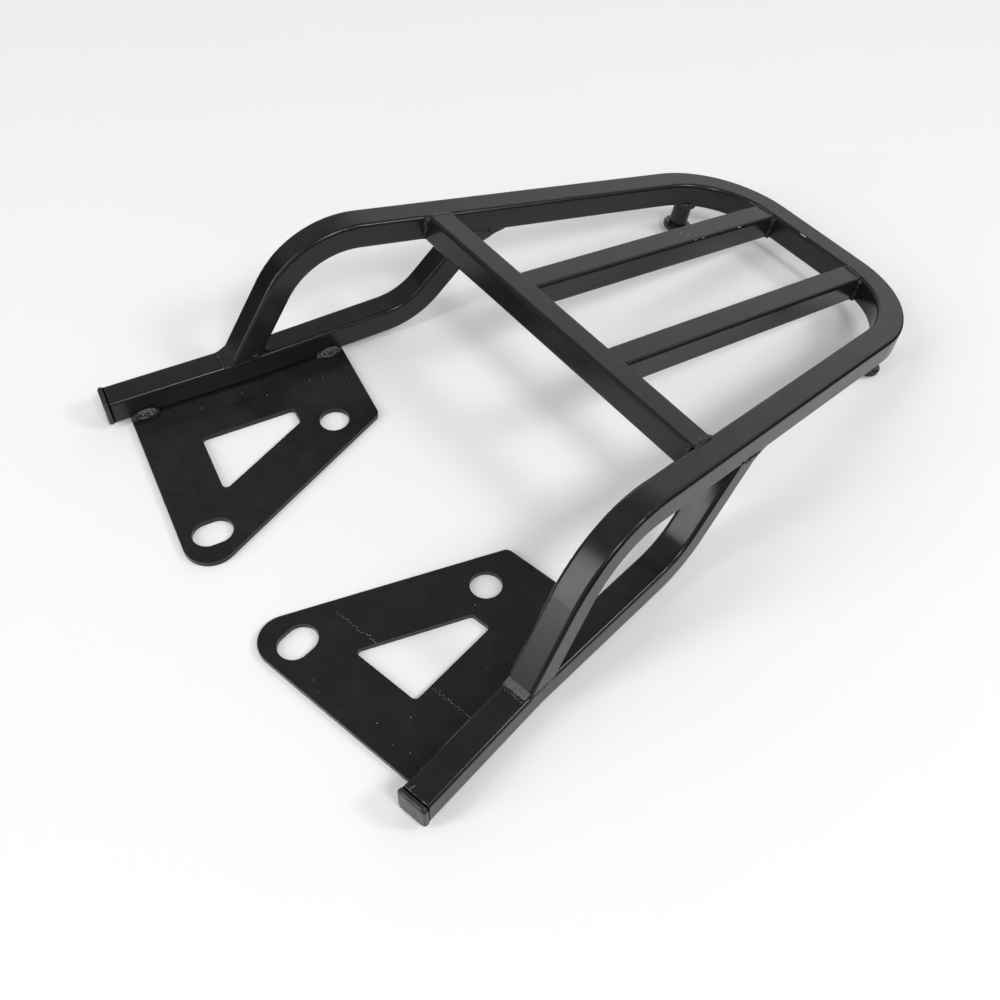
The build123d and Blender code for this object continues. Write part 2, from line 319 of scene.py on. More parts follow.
def pattern(tree, place, size, detail=2, roughness=0.5):
    """Strength of a noise pattern whose lumps are about this many millimetres across."""
    node = add_node(tree, "ShaderNodeTexNoise", {
        "Vector": place, "Scale": per_mm(size), "Detail": detail, "Roughness": roughness,
    })
    return node.outputs["Fac"]


def ramp(tree, value, low, high, to_low=0, to_high=1):
    """A number taken from one range to another and held inside it."""
    node = add_node(tree, "ShaderNodeMapRange", {
        "Value": value, "From Min": low, "From Max": high, "To Min": to_low, "To Max": to_high,
    })
    return node.outputs["Result"]


def blend(tree, share, first, second):
    """A colour that goes from the first to the second as the share goes from 0 to 1."""
    node = add_node(tree, "ShaderNodeMix", {
        FACTOR: share, COLOUR_A: first, COLOUR_B: second,
    }, data_type="RGBA")
    return node.outputs[COLOUR_OUT]


def combine(tree, operation, first, second):
    """Two numbers made into one."""
    return add_node(tree, "ShaderNodeMath", {0: first, 1: second}, operation=operation).outputs["Value"]


def satin_paint(name, base, dust, roughness, specks):
    """Satin black powder coat: deep black with a soft sheen, faint orange peel and some dust on top faces."""
    material, tree, shader, place = new_material(name)
    # uneven film: broad patches a little lighter
    patches = ramp(tree, pattern(tree, place, 35, roughness=0.55), 0.35, 0.7)
    tone = blend(tree, patches, base, shade(base, 1.2))
    # a haze of dust, only where the paint faces up
    normal = add_node(tree, "ShaderNodeNewGeometry").outputs["Normal"]
    axes = add_node(tree, "ShaderNodeSeparateXYZ", {"Vector": normal})
    upward = ramp(tree, axes.outputs["Z"], 0.75, 0.98)
    haze = ramp(tree, pattern(tree, place, 9, detail=4, roughness=0.55), 0.4, 0.75, to_high=0.025)
    tone = blend(tree, combine(tree, "MULTIPLY", upward, haze), tone, dust)
    # single dust grains, drawn about three times coarser than real ones so that they show
    cells = add_node(tree, "ShaderNodeTexVoronoi", {"Vector": place, "Scale": per_mm(3)}).outputs
    dot = ramp(tree, cells["Distance"], 0.06, 0.09, to_low=1, to_high=0)
    draw = add_node(tree, "ShaderNodeSeparateXYZ", {"Vector": cells["Color"]})
    chosen = ramp(tree, draw.outputs["X"], 1 - specks, 1.02 - specks, to_high=0.55)
    speck = combine(tree, "MULTIPLY", dot, chosen)
    tone = blend(tree, combine(tree, "MULTIPLY", speck, upward), tone, dust)
    tree.links.new(tone, shader.inputs["Base Color"])
    shader.inputs["Specular IOR Level"].default_value = 0.36
    gloss = pattern(tree, place, 14, detail=3, roughness=0.55)
    rough = ramp(tree, gloss, 0.3, 0.7, roughness - 0.02, roughness + 0.04)
    tree.links.new(rough, shader.inputs["Roughness"])
    # orange peel of the sprayed powder
    peel = pattern(tree, place, 1.6, detail=1)
    bump = add_node(tree, "ShaderNodeBump", {"Height": peel, "Strength": 0.03, "Distance": 0.0002})
    tree.links.new(bump.outputs["Normal"], shader.inputs["Normal"])
    return material


def moulded_plastic(name, base, dust):
    """Moulded black polyethylene: dull, slightly grey, with a fine grain and pale scuffs."""
    material, tree, shader, place = new_material(name)
    cloud = ramp(tree, pattern(tree, place, 6, detail=3), 0.35, 0.7)
    tone = blend(tree, cloud, base, shade(base, 1.6))
    scuffs = ramp(tree, pattern(tree, place, 2.2, detail=4), 0.62, 0.75, to_high=0.25)
    tone = blend(tree, scuffs, tone, dust)
    tree.links.new(tone, shader.inputs["Base Color"])
    shader.inputs["Specular IOR Level"].default_value = 0.4
    rough = ramp(tree, pattern(tree, place, 4), 0.3, 0.7, 0.30, 0.40)
    tree.links.new(rough, shader.inputs["Roughness"])
    pores = pattern(tree, place, 0.7, detail=1)
    bump = add_node(tree, "ShaderNodeBump", {"Height": pores, "Strength": 0.15, "Distance": 0.0001})
    tree.links.new(bump.outputs["Normal"], shader.inputs["Normal"])
    return material


def matt_grain_and_glint(name, base):
    """Dust and grit dried onto the paint, and painted glints on grains and edges: matt, uneven from grain to
    grain.
    """
    material, tree, shader, place = new_material(name)
    cloud = ramp(tree, pattern(tree, place, 2.5), 0.35, 0.65)
    tree.links.new(blend(tree, cloud, shade(base, 0.35), base), shader.inputs["Base Color"])
    shader.inputs["Roughness"].default_value = 0.6
    return material


def bare_steel(name, base):
    """Bright steel where the paint has flaked off: metallic, with an uneven dull gleam."""
    material, tree, shader, place = new_material(name)
    cloud = pattern(tree, place, 1.2, detail=3)
    tree.links.new(blend(tree, cloud, shade(base, 0.6), base), shader.inputs["Base Color"])
    shader.inputs["Metallic"].default_value = 1
    tree.links.new(ramp(tree, cloud, 0.3, 0.7, 0.35, 0.5), shader.inputs["Roughness"])
    return material


def dull_black(name, base):
    """Black felt, and the painted shade in the cap gaps: matt fibres and grains that send back almost no
    light.
    """
    material, tree, shader, place = new_material(name)
    fibres = pattern(tree, place, 1.5)
    tree.links.new(blend(tree, fibres, base, shade(base, 1.5)), shader.inputs["Base Color"])
    shader.inputs["Roughness"].default_value = 1
    shader.inputs["Specular IOR Level"].default_value = 0
    return material


def studio_paper(name, base):
    """White studio paper: matt, with the faintest mottling and a little glow of its own."""
    material, tree, shader, place = new_material(name)
    mottle = pattern(tree, place, 60, detail=3)
    tree.links.new(blend(tree, mottle, base, shade(base, 0.985)), shader.inputs["Base Color"])
    shader.inputs["Roughness"].default_value = 0.9
    shader.inputs["Specular IOR Level"].default_value = 0.1
    # the glow whitens the paper to the eye and in reflections, and lights nothing
    ray = add_node(tree, "ShaderNodeLightPath").outputs
    seen = combine(tree, "MAXIMUM", ray["Is Camera Ray"], ray["Is Glossy Ray"])
    seen = combine(tree, "MAXIMUM", seen, ray["Is Transmission Ray"])
    shader.inputs["Emission Color"].default_value = (1, 1, 1, 1)
    tree.links.new(combine(tree, "MULTIPLY", seen, 0.10), shader.inputs["Emission Strength"])
    return material


# Beads, grains and pieces

def add_bead(
    mesh, start, end, walls, radius, pitch, flat=0.0, ripple=0.17, rough=0.10, sink=0.0, tip=0.12
):
    """Adds a weld bead from start to end, a row of overlapping puddles trimmed at the walls it joins.

    flat turns the round crown into a straight fillet at 1 and into a hollow one above that. ripple and rough
    are shares of the radius, sink lowers the bead, and tip is the share of the radius left at the ends.
    """
    axis = (end - start).normalized()
    run = (end - start).length
    crown = sum(walls, Vector()).normalized()
    across = axis.cross(crown)
    spread = (pi - walls[0].angle(walls[-1])) / 2
    # beads in different places get different lumps
    seed = start * 977
    piece = bmesh.new()
    bmesh.ops.create_cone(
        piece, cap_ends=True, segments=BEAD_SIDES, radius1=radius, radius2=radius, depth=run
    )
    sides = [e for e in piece.edges if abs(e.verts[0].co.z - e.verts[1].co.z) > run / 2]
    cuts = max(FEWEST_CUTS, ceil(CUTS_PER_RIPPLE * run / pitch))
    bmesh.ops.subdivide_edges(piece, edges=sides, cuts=cuts)
    for vert in piece.verts:
        along = vert.co.z + run / 2
        turn = atan2(vert.co.y, vert.co.x)
        room = min(along, run - along) / radius
        taper = max(tip, sqrt(max(0, 1 - (1 - min(1, room)) ** 2)))
        # the ripples bow along the crown and aren't quite even
        wander = 0.4 * noise.noise(seed + Vector((along / pitch * 0.7, 0, 0)))
        puddle = (along / pitch + 0.45 * cos(turn) + wander) % 1
        swell = 1 - ripple * (2 * puddle - 1) ** 2
        spot = Vector((along, cos(turn) * radius, sin(turn) * radius))
        coarse = noise.noise(seed + spot * COARSE_LUMPS)
        fine = noise.noise(seed + spot * FINE_LUMPS)
        lump = 1 + rough * (coarse + 0.6 * fine)
        # a straight line from wall to wall, which goes on a little way past them
        chord = cos(spread) / max(0.6 * cos(spread), cos(turn))
        shape = 1 + flat * (chord - 1)
        outward = crown * cos(turn) + across * sin(turn)
        vert.co = start - crown * sink + axis * along + outward * (radius * taper * swell * lump * shape)
    for face in piece.faces:
        face.smooth = True
    for wall in walls:
        cut = bmesh.ops.bisect_plane(
            piece, geom=piece.verts[:] + piece.edges[:] + piece.faces[:],
            plane_co=start - wall * TRIM, plane_no=wall, clear_inner=True,
        )
        rim = [g for g in cut["geom_cut"] if isinstance(g, bmesh.types.BMEdge)]
        for face in bmesh.ops.edgeloop_fill(piece, edges=rim)["faces"]:
            face.smooth = False
    join(mesh, piece)


def lay_bead(mesh, side, pitch, start, end, walls, radius, **form):
    """Adds a bead that is set out for the right side, on the side asked for."""
    walls = [flip(wall, side) for wall in walls]
    add_bead(mesh, flip(start, side), flip(end, side), walls, radius, pitch, **form)


def add_grain(mesh, place, facing, lie, long, wide, high):
    """Adds a small oval lump lying on a face: its long axis along lie, its height along facing."""
    piece = bmesh.new()
    bmesh.ops.create_icosphere(piece, subdivisions=2, radius=1)
    side = facing.cross(lie).normalized()
    lie = side.cross(facing).normalized()
    # grains in different places get different lumps
    seed = place * 3100
    for vert in piece.verts:
        lump = 1 + 0.35 * noise.noise(seed + vert.co * 1.7)
        x, y, z = vert.co * lump
        vert.co = place + lie * (x * long) + side * (y * wide) + facing * (z * high)
    for face in piece.faces:
        face.smooth = True
    join(mesh, piece)


def join(mesh, piece):
    """Adds one finished solid to a mesh."""
    bmesh.ops.recalc_face_normals(piece, faces=piece.faces)
    data = bpy.data.meshes.new("joined")
    piece.to_mesh(data)
    piece.free()
    mesh.from_mesh(data)
    bpy.data.meshes.remove(data)


def new_object(name, mesh, material):
    """Turns a finished mesh into an object of the scene."""
    data = bpy.data.meshes.new(name)
    mesh.to_mesh(data)
    mesh.free()
    data.materials.append(material)
    item = bpy.data.objects.new(name, data)
    bpy.context.scene.collection.objects.link(item)
    return item


def add_piece(name, mesh, material, slot, *nodes):
    """Turns a finished mesh into a piece of the rack."""
    piece = new_object(name, mesh, material)
    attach(piece, "root")
    if nodes:
        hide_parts(*nodes)


def coat_nodes(material, *names):
    """Puts a material on CAD pieces that are shown as they are."""
    for name in names:
        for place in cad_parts[name].material_slots:
            place.material = material


def weld_coat(colours):
    """The one paint shared by all the beads."""
    name = "weld bead, satin black paint"
    found = bpy.data.materials.get(name)
    return found or satin_paint(
        name, tuple(colours.weld_paint), tuple(colours.dust), roughness=0.24, specks=0.0
    )


def grain_and_glint_coat(colours):
    """The one grey shared by the grains, the grains on the right rail's lip and the scratch, partly a painted
    highlight for glints.
    """
    name = "paint grain and painted glint, grey"
    return bpy.data.materials.get(name) or matt_grain_and_glint(name, tuple(colours.grit_and_glint))


# Operators

class RACK_OT_paint_tubes(bpy.types.Operator):
    """Paint the hoop, rails, deck bars and pegs satin black"""
    bl_idname = "rack.paint_tubes"
    bl_label = "Paint tubes"

    def execute(self, context):
        colours = context.scene.rack_colours
        coat = satin_paint(
            "steel tube, satin black paint", tuple(colours.tube_paint), tuple(colours.dust),
            roughness=0.22, specks=0.03,
        )
        coat_nodes(
            coat, "deck_hoop", "left_lower_rail", "right_lower_rail", "front_crossbar",
            "left_deck_bar", "right_deck_bar", "left_cargo_peg", "right_cargo_peg",
        )
        return {"FINISHED"}


class RACK_OT_paint_plates(bpy.types.Operator):
    """Paint the mount plates satin black"""
    bl_idname = "rack.paint_plates"
    bl_label = "Paint plates"

    def execute(self, context):
        colours = context.scene.rack_colours
        coat = satin_paint(
            "steel plate, satin black paint", tuple(colours.plate_paint), tuple(colours.dust),
            roughness=0.23, specks=0.06,
        )
        coat_nodes(coat, "left_mount_plate", "right_mount_plate")
        return {"FINISHED"}


class RACK_OT_mould_caps(bpy.types.Operator):
    """Give the end caps their moulded plastic"""
    bl_idname = "rack.mould_caps"
    bl_label = "Mould caps"

    def execute(self, context):
        colours = context.scene.rack_colours
        plastic = moulded_plastic(
            "polyethylene, moulded black", tuple(colours.cap_plastic), tuple(colours.dust)
        )
        coat_nodes(plastic, "left_end_cap", "right_end_cap")
        return {"FINISHED"}


class RACK_OT_weld_legs(bpy.types.Operator):
    """Lay the dressed fillets and seams that join the legs to the lower rails"""
    bl_idname = "rack.weld_legs"
    bl_label = "Weld legs"

    def execute(self, context):
        p = set_out(context.scene.rack_sizes)
        b = context.scene.rack_beads
        coat = weld_coat(context.scene.rack_colours)
        reach = p.rear_out * (p.half - END_INSET)
        front, rear = p.foot - p.foot_half, p.foot + p.foot_half
        toe_overlap = 0.0003
        toe = front - p.rear_dir * (b.foot_fillet - toe_overlap)
        lump_from, lump_to = reach * 0.72, reach * 1.05
        seam_drop = 0.0006
        for word, side in SIDES:
            mesh = bmesh.new()
            lay = partial(lay_bead, mesh, side, b.pitch)
            # ground flat at the front, with a rough line and a lump left along its toe
            lay(
                front - reach, front + reach, [UP, p.leg_ahead], b.foot_fillet,
                flat=1, ripple=0, rough=0.015, tip=1,
            )
            lay(toe - reach, toe + reach, [UP], b.toe_line, ripple=0.3, rough=0.4, sink=0.0003)
            lay(toe + lump_from, toe + lump_to, [UP], b.toe_lump, ripple=0.1, rough=0.4, sink=0.0004)
            lay(
                rear - reach, rear + reach, [UP, -p.leg_ahead], b.corner_bead,
                flat=0.5, ripple=0.12, rough=0.2,
            )
            # flush seams on both side faces
            for out in (1, -1):
                face = p.rear_out * out
                shift = p.rear_out * (out * (p.half - SEAM_INSET)) - UP * seam_drop
                lay(front + shift, rear + shift, [face], b.leg_seam, ripple=0.08, rough=0.2, sink=0.0013)
            add_piece(word + "_leg_bead", mesh, coat, "weld_paint", word + "_leg_weld")
        return {"FINISHED"}


class RACK_OT_weld_braces(bpy.types.Operator):
    """Lay the beads that join the raised ends of the lower rails to the deck"""
    bl_idname = "rack.weld_braces"
    bl_label = "Weld braces"

    def execute(self, context):
        p = set_out(context.scene.rack_sizes)
        b = context.scene.rack_beads
        coat = weld_coat(context.scene.rack_colours)
        reach = p.rear_out * (p.half - END_INSET)
        front, rear = p.brace_top - p.brace_half, p.brace_top + p.brace_half
        seam_rise = 0.0004
        for word, side in SIDES:
            mesh = bmesh.new()
            lay = partial(lay_bead, mesh, side, b.pitch)
            lay(
                front - reach, front + reach, [-p.rail_up, p.brace_ahead], b.corner_bead,
                ripple=0.12, rough=0.2,
            )
            lay(
                rear - reach, rear + reach, [-p.rail_up, -p.brace_ahead], b.brace_fillet,
                flat=1.15, ripple=0, rough=0.01, tip=1,
            )
            # rough seam left standing on both side faces
            for out in (1, -1):
                face = p.rear_out * out
                shift = p.rear_out * (out * (p.half - SEAM_INSET)) + p.rail_up * seam_rise
                lay(front + shift, rear + shift, [face], b.brace_seam, ripple=0.25, rough=0.5, sink=0.0009)
            add_piece(word + "_brace_bead", mesh, coat, "weld_paint", word + "_brace_weld")
        return {"FINISHED"}


class RACK_OT_weld_crossbar(bpy.types.Operator):
    """Lay the beads at the ends of the deck's front bar"""
    bl_idname = "rack.weld_crossbar"
    bl_label = "Weld crossbar"

    def execute(self, context):
        s = context.scene.rack_sizes
        p = set_out(s)
        b = context.scene.rack_beads
        # depths below the deck at which the beads start and end
        thin_top, lump_top, lump_low, fillet_top, low = 0.0005, -0.0004, 0.0034, 0.0014, s.tube - 0.001
        # the saddle on top runs a little past the bar's front and rear faces
        saddle_front, saddle_rear = -0.0005, s.tube + 0.0015

        def at_wall(along, depth):
            """Point of the right rail's inner face."""
            point = deck_point(p, 0, along, depth)
            point.x = wall_x(p, point)
            return point

        mesh = bmesh.new()
        for side in (RIGHT, LEFT):
            lay = partial(lay_bead, mesh, side, b.pitch)
            # thin bead in front, with a lump at its top
            walls = [-p.rear_out, -p.deck_along]
            lay(at_wall(0, thin_top), at_wall(0, low), walls, b.thin_bead, ripple=0.1, rough=0.3)
            lay(at_wall(0, lump_top), at_wall(0, lump_low), walls, b.corner_bead * 0.8, ripple=0, rough=0.35)
            # hollow fillet behind
            lay(
                at_wall(s.tube, fillet_top), at_wall(s.tube, low), [-p.rear_out, p.deck_along],
                b.crossbar_fillet, flat=1.25, ripple=0, rough=0.01, tip=0.55,
            )
            # low saddle on top, with longer ripples
            lay_bead(
                mesh, side, b.pitch * 1.8, at_wall(saddle_front, 0), at_wall(saddle_rear, 0), [p.deck_up],
                b.crossbar_saddle, ripple=0.03, rough=0.05, sink=0.0029,
            )
        coat = weld_coat(context.scene.rack_colours)
        add_piece("crossbar_bead", mesh, coat, "weld_paint", "crossbar_weld")
        return {"FINISHED"}


class RACK_OT_weld_bars(bpy.types.Operator):
    """Lay the beads at both ends of the long deck bars"""
    bl_idname = "rack.weld_bars"
    bl_label = "Weld deck bars"

    def execute(self, context):
        s = context.scene.rack_sizes
        p = set_out(s)
        b = context.scene.rack_beads
        coat = weld_coat(context.scene.rack_colours)
        bend = s.corner - p.half
        bend_x = p.rear_corner.x - s.corner * tan(p.rail_dir.angle(-ACROSS) / 2)

        def rear_wall(across):
            """Where the hoop's inner face lies behind a deck bar, and the way it faces."""
            past = max(0, abs(across) - bend_x)
            sine = past / bend if across > 0 else -past / bend
            facing = ACROSS * -sine - p.deck_along * sqrt(1 - sine ** 2)
            return s.deck_length - s.tube - bend + sqrt(bend ** 2 - past ** 2), facing

        def front_wall(across):
            """Where the crossbar's rear face lies, which is the same all along it."""
            return s.tube, p.deck_along

        # a thin bead down each side of a bar, with a lump at its top and a smaller one at its foot
        top, low = s.bar_drop + END_INSET, s.bar_drop + s.tube - END_INSET
        lump_past, top_lump, foot_lump = 0.0006, 0.003, 0.0020
        runs = (
            (top, low, b.thin_bead),
            (top - lump_past, top + top_lump, b.corner_bead * 0.7),
            (low - foot_lump, low + lump_past, b.corner_bead * 0.55),
        )
        saddle_inset = 0.0005
        for word, wall in (("front", front_wall), ("rear", rear_wall)):
            mesh = bmesh.new()
            for side in (RIGHT, LEFT):
                middle = side * s.bar_spacing / 2
                for edge in (1, -1):
                    across = middle + edge * p.half
                    along, facing = wall(across)
                    for first, last, radius in runs:
                        ends = [deck_point(p, across, along, depth) for depth in (first, last)]
                        add_bead(
                            mesh, *ends, [facing, ACROSS * edge], radius, b.pitch, ripple=0.1, rough=0.3
                        )
                # saddle where the bar's top runs into the tube it butts against
                ends = []
                for edge in (1, -1):
                    across = middle + edge * (p.half - saddle_inset)
                    along, facing = wall(across)
                    ends.append(deck_point(p, across, along, s.bar_drop) - facing * SEAM_INSET)
                add_bead(
                    mesh, *ends, [p.deck_up], b.bar_saddle, b.pitch, ripple=0.08, rough=0.15, sink=0.0019
                )
            name = "deck_bar_" + word
            add_piece(name + "_bead", mesh, coat, "weld_paint", name + "_weld")
        return {"FINISHED"}


class RACK_OT_weld_plates(bpy.types.Operator):
    """Lay the rough beads that join the mount plates to the lower rails"""
    bl_idname = "rack.weld_plates"
    bl_label = "Weld plates"

    def execute(self, context):
        s = context.scene.rack_sizes
        p = set_out(s)
        b = context.scene.rack_beads
        colours = context.scene.rack_colours
        coat = weld_coat(colours)
        # painted highlight: the curled ripples are painted grey to stand in for the glints on them
        ripple_glint_coat = satin_paint(
            "weld ripple, painted highlight grey", tuple(colours.ripple_highlight_grey), tuple(colours.dust),
            roughness=0.30, specks=0.0,
        )
        rear_inset = 0.0009
        rear_end = (s.plate_rear - s.leg_along) / cos(s.splay - s.converge) - rear_inset
        for word, side in SIDES:
            mesh = bmesh.new()
            ripples = bmesh.new()
            for origin, ahead, out, along in (
                (p.rail_front, p.front_dir, p.front_out, s.plate_front),
                (p.leg_foot, p.rear_dir, p.rear_out, rear_end - b.plate_bead_length),
            ):
                first = origin - UP * p.half - out * p.half + ahead * along
                last = first + ahead * b.plate_bead_length
                lay_bead(mesh, side, b.pitch, first, last, [UP, -out], b.plate_bead, ripple=0.10, rough=0.14)
                # a thin second pass, curled like a spring lying on the first
                crown = (UP - out).normalized()
                across = ahead.cross(crown)
                curl = []
                for step in range(CURL_POINTS):
                    turn = CURL_START + step * CURL_TURN
                    share = 1 - step / CURL_FADE
                    drift = across * (sin(turn) * b.plate_bead * CURL_WIDTH * share)
                    rise = crown * (sqrt(b.plate_bead ** 2 - drift.length_squared) * CURL_HEIGHT)
                    shift = ahead * (cos(turn) * b.plate_bead_length * CURL_LENGTH * share)
                    curl.append((first + last) / 2 + drift + rise + shift)
                for here, there in zip(curl, curl[1:]):
                    lay_bead(
                        ripples, side, b.pitch, here, there, [crown], b.curl, ripple=0.1, rough=0.4, tip=0.6
                    )
            add_piece(word + "_plate_bead", mesh, coat, "weld_paint", word + "_plate_weld")
            add_piece(word + "_plate_weld_ripples", ripples, ripple_glint_coat, "weld_paint")
        return {"FINISHED"}


class RACK_OT_weld_pegs(bpy.types.Operator):
    """Lay the ring beads round the roots of the pegs"""
    bl_idname = "rack.weld_pegs"
    bl_label = "Weld pegs"

    def execute(self, context):
        s = context.scene.rack_sizes
        p = set_out(s)
        b = context.scene.rack_beads
        radius = s.peg / 2
        ripple = 0.17
        seat = (-UP).rotation_difference(p.deck_up).to_matrix()
        mesh = bmesh.new()
        for side in (RIGHT, LEFT):
            piece = bmesh.new()
            upright = Matrix.Rotation(pi / 2, 4, "X")
            bmesh.ops.create_circle(piece, segments=16, radius=b.peg_bead, matrix=upright)
            bmesh.ops.translate(piece, verts=piece.verts, vec=(radius, 0, 0))
            bmesh.ops.spin(
                piece, geom=piece.verts[:] + piece.edges[:], cent=(0, 0, 0), axis=(0, 0, 1),
                angle=2 * pi, steps=96, use_merge=True,
            )
            bmesh.ops.remove_doubles(piece, verts=piece.verts, dist=0.000001)
            root = flip(p.peg_root, side)
            for vert in piece.verts:
                turn = atan2(vert.co.y, vert.co.x)
                ring = Vector((cos(turn), sin(turn), 0)) * radius
                puddle = (turn * radius / b.pitch) % 1
                swell = 1 - ripple * (2 * puddle - 1) ** 2
                vert.co = root + seat @ (ring + (vert.co - ring) * swell)
            for face in piece.faces:
                face.smooth = True
            join(mesh, piece)
        add_piece("peg_bead", mesh, weld_coat(context.scene.rack_colours), "weld_paint", "peg_weld")
        return {"FINISHED"}


class RACK_OT_add_grains(bpy.types.Operator):
    """Add the dotted lines and single grains in the paint of the plates and the right rail"""
    bl_idname = "rack.add_grains"
    bl_label = "Add grains"

    def execute(self, context):
        s = context.scene.rack_sizes
        m = context.scene.rack_marks
        p = set_out(s)
        grit_and_glint = grain_and_glint_coat(context.scene.rack_colours)

        # a row of grains straight across the right plate, broken by its window, their grey partly a painted
        # highlight
        mesh = bmesh.new()
        corner = p.rail_front - UP * p.half
        for first, last in ((m.line_from, m.window_from), (m.window_to, m.line_to)):
            count = ceil((last - first) / m.line_pitch)
            for step in range(count):
                wobble = noise.noise(Vector((step * 3.7, first * 900, 0)))
                inside = first + (last - first) * (step + 0.4 * wobble) / count
                along = m.line_along + m.line_sway * noise.noise(Vector((step * 1.9, first * 500, 4)))
                size = m.grain * (0.75 + 0.5 * wobble)
                spot = corner - p.front_out * inside + p.front_dir * along
                add_grain(mesh, spot, UP, p.front_out, size * 1.5, size, size * 0.6)
        add_piece("right_plate_dotted_line", mesh, grit_and_glint, "plate_paint")

        # more of them along the right rail's inner edge, their pale grey a painted highlight for the edge's
        # broken glint
        mesh = bmesh.new()
        slant = UP - p.front_out
        edge = p.rail_front + slant * (p.half - p.round_off)
        count = ceil((m.edge_to - m.edge_from) / m.line_pitch)
        for step in range(count):
            wobble = noise.noise(Vector((step * 2.3, 7, 1)))
            along = m.edge_from + (m.edge_to - m.edge_from) * (step + 0.5 * wobble) / count
            size = m.grain * (0.7 + 0.6 * wobble)
            spot = edge + p.front_dir * along
            add_grain(mesh, spot, slant, p.front_dir, size * 1.6, size * 0.7, size * 0.5)
        add_piece("right_rail_dotted_line", mesh, grit_and_glint, "tube_paint")

        # single grains on the plates
        for word, spots in PLATE_GRAINS.items():
            mesh = bmesh.new()
            for x, y in spots:
                size = m.grain * (1.1 + 0.4 * noise.noise(Vector((x, y, 0))))
                spot = Vector((x / 1000, y / 1000, s.plate))
                add_grain(mesh, spot, UP, ACROSS, size, size, size * 0.5)
            add_piece(word + "_plate_grains", mesh, grit_and_glint, "plate_paint")
        return {"FINISHED"}


class RACK_OT_chip_deck(bpy.types.Operator):
    """Chip the paint of the left deck bar and of the hoop's rear tube"""
    bl_idname = "rack.chip_deck"
    bl_label = "Chip deck"

    def execute(self, context):
        s = context.scene.rack_sizes
        m = context.scene.rack_marks
        p = set_out(s)
        steel = bare_steel("bare steel, bright chip", tuple(context.scene.rack_colours.steel))

        # on the rounded edge and the top of the left deck bar
        mesh = bmesh.new()
        edge_x = -s.bar_spacing / 2 + p.half - p.round_off
        slant = (p.deck_up + ACROSS).normalized()
        for along, long in BAR_EDGE_CHIPS:
            spot = deck_point(p, edge_x, along, s.bar_drop + p.round_off)
            add_grain(mesh, spot, slant, p.deck_along, long, m.chip_wide, m.chip_high)
        top_long = 0.0005
        for across, along in BAR_TOP_CHIPS:
            spot = deck_point(p, across, along, s.bar_drop)
            add_grain(mesh, spot, p.deck_up, p.deck_along, top_long, m.chip_wide, m.chip_high)
        add_piece("left_deck_bar_chips", mesh, steel, "tube_paint")

        # on the inner edge of the rear tube, left of the middle
        mesh = bmesh.new()
        hoop_x, long, wide = -0.0048, 0.0026, 0.0004
        spot = deck_point(p, hoop_x, s.deck_length - s.tube + p.round_off, p.round_off)
        slant = (p.deck_up - p.deck_along).normalized()
        add_grain(mesh, spot, slant, ACROSS, long, wide, m.chip_high)
        add_piece("deck_hoop_chip", mesh, steel, "tube_paint")
        return {"FINISHED"}


class RACK_OT_close_rail_ends(bpy.types.Operator):
    """Fill the gaps at the end caps with a painted shade and draw up the thick paint round the rails' ends"""
    bl_idname = "rack.close_rail_ends"
    bl_label = "Close rail ends"

    def execute(self, context):
        s = context.scene.rack_sizes
        m = context.scene.rack_marks
        p = set_out(s)
        colours = context.scene.rack_colours

        # painted shade: a black band round the tube's end stands in for the shadow in the gap at each cap
        painted_shade = dull_black("grime in the cap gap, black", tuple(colours.painted_shade))
        width = s.tube + 2 * m.gap_proud
        for word, side in SIDES:
            mesh = bmesh.new()
            band = bmesh.new()
            bmesh.ops.create_cube(band, size=1, matrix=Matrix.Diagonal((width, width, m.gap, 1)))
            corners = [e for e in band.edges if abs(e.verts[0].co.z - e.verts[1].co.z) > m.gap / 2]
            bmesh.ops.bevel(
                band, geom=corners, offset=s.tube_corner, segments=6, profile=0.5, affect="EDGES", material=-1
            )
            for vert in band.verts:
                x, y, z = vert.co
                along = p.front_dir * (z + m.gap / 2)
                vert.co = flip(p.rail_front + p.front_out * x + UP * y + along, side)
            join(mesh, band)
            add_piece(word + "_cap_gap", mesh, painted_shade, "cap_plastic")

        # thick paint along the rails' ends, where the caps sit
        lip_along = m.gap + m.lip * 0.8
        flank = p.half - s.tube_corner
        for word, side in SIDES:
            mesh = bmesh.new()
            for face, lie in ((UP, p.front_out), (p.front_out, UP), (-p.front_out, UP)):
                middle = p.rail_front + face * p.half + p.front_dir * lip_along
                lay_bead(
                    mesh, side, m.lip * 5, middle - lie * flank, middle + lie * flank, [face], m.lip,
                    ripple=0.2, rough=0.6, sink=m.lip * 0.4,
                )
            add_piece(word + "_rail_paint_lip", mesh, weld_coat(colours), "tube_paint")

        # pale grey grains along the top of the right rail's lip: a painted highlight for its broken bright
        # line
        mesh = bmesh.new()
        crest = p.rail_front + UP * (p.half + m.lip * 0.5)
        glint_high = 0.00012
        for across, long, wide in LIP_GLINTS:
            spot = crest + p.front_out * across + p.front_dir * lip_along
            add_grain(mesh, spot, UP, p.front_out, long, wide, glint_high)
        add_piece("right_rail_lip_glints", mesh, grain_and_glint_coat(colours), "tube_paint")
        return {"FINISHED"}


